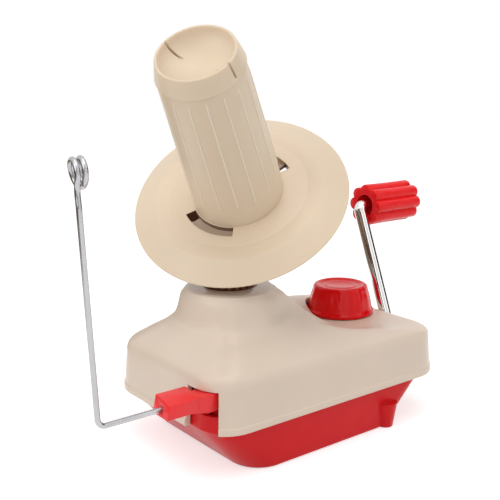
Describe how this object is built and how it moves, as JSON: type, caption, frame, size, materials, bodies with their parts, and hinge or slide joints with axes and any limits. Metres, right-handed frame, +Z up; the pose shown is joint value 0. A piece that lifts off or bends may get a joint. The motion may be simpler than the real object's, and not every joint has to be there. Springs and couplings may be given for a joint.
{
  "type": "yarn ball winder",
  "caption": "Hand-cranked yarn ball winder: tilted winding cone on a disc over a geared casing, with a side crank, a wire yarn guide and a screw clamp for a table edge.",
  "frame": {"origin": "on the table, under the rotor's vertical axis", "axes": "+X to the crank end, +Y to the back, +Z up"},
  "size_m": [0.2669, 0.1156, 0.2133],
  "materials": {
    "base_red": "semi-gloss moulded red plastic",
    "ivory_cover": "satin moulded ivory plastic",
    "ivory_spindle": "satin moulded cream plastic",
    "gear_brown": "dark brown moulded plastic",
    "guide_red": "satin bright red plastic",
    "grip_red": "semi-gloss bright red plastic",
    "knob_red": "gloss deep red plastic",
    "shaft_chrome": "bright plated steel",
    "wire_steel": "drawn steel wire",
    "zinc_steel": "zinc-plated steel",
    "bush_brass": "turned brass",
    "pad_rubber": "black rubber"
  },
  "bodies": {
    "casing": {"base_tray": "base_red", "cover": "ivory_cover", "cover_screws": "zinc_steel", "sun_gear": "gear_brown", "neck_bush": "bush_brass", "foot_bearing": "bush_brass", "crank_bracket": "base_red", "crank_bush": "bush_brass", "guide_arm": "guide_red", "guide_screw": "zinc_steel"},
    "rotor": {"rotor_shaft": "shaft_chrome", "pinion": "gear_brown", "spindle_collar": "zinc_steel", "rotor_clip": "zinc_steel"},
    "spindle": {"winding_disc": "ivory_spindle", "winding_cone": "ivory_spindle", "ring_gear": "gear_brown", "disc_bush": "bush_brass", "cone_bush": "bush_brass"},
    "crank": {"crank_rod": "shaft_chrome", "drive_gear": "gear_brown", "crank_collar": "zinc_steel", "grip_clip": "zinc_steel"},
    "grip": {"handle_grip": "grip_red", "grip_cap": "grip_red"},
    "knob": {"clamp_knob": "knob_red", "clamp_sleeve": "zinc_steel"},
    "jaw": {"clamp_stud": "zinc_steel", "clamp_jaw": "zinc_steel", "jaw_pad": "pad_rubber"},
    "guide": {"guide_wire": "wire_steel"}
  },
  "joints": [
    {"name": "crank_turn", "type": "hinge", "parent": "casing", "child": "crank", "pos_m": [0.121, 0, 0.04], "axis": [1, 0, 0], "continuous": true},
    {"name": "rotor_turn", "type": "hinge", "parent": "casing", "child": "rotor", "pos_m": [0, 0, 0.05], "axis": [0, 0, 1], "continuous": true},
    {"name": "spindle_turn", "type": "hinge", "parent": "rotor", "child": "spindle", "pos_m": [0, 0, 0.1478], "axis": [-0.5369, -0.3816, 0.7524], "continuous": true},
    {"name": "grip_spin", "type": "hinge", "parent": "crank", "child": "grip", "pos_m": [0.145, 0.02712, 0.10885], "axis": [1, 0, 0], "continuous": true},
    {"name": "knob_turn", "type": "hinge", "parent": "casing", "child": "knob", "pos_m": [0.0888, 0.009, 0.0505], "axis": [0, 0, 1], "range_deg": [0, 2880]},
    {"name": "jaw_slide", "type": "slide", "parent": "casing", "child": "jaw", "axis": [0, 0, -1], "range_m": [0, 0.0321]},
    {"name": "wire_turn", "type": "hinge", "parent": "casing", "child": "guide", "pos_m": [-0.06, -0.036, 0.0426], "axis": [1, 0, 0], "range_deg": [-90, 90]}
  ],
  "couplings": [
    {"joint": "rotor_turn", "follows": "crank_turn", "ratio": 3},
    {"joint": "spindle_turn", "follows": "crank_turn", "ratio": -0.70588},
    {"joint": "jaw_slide", "follows": "knob_turn", "m_per_rad": 0.00063662}
  ]
}
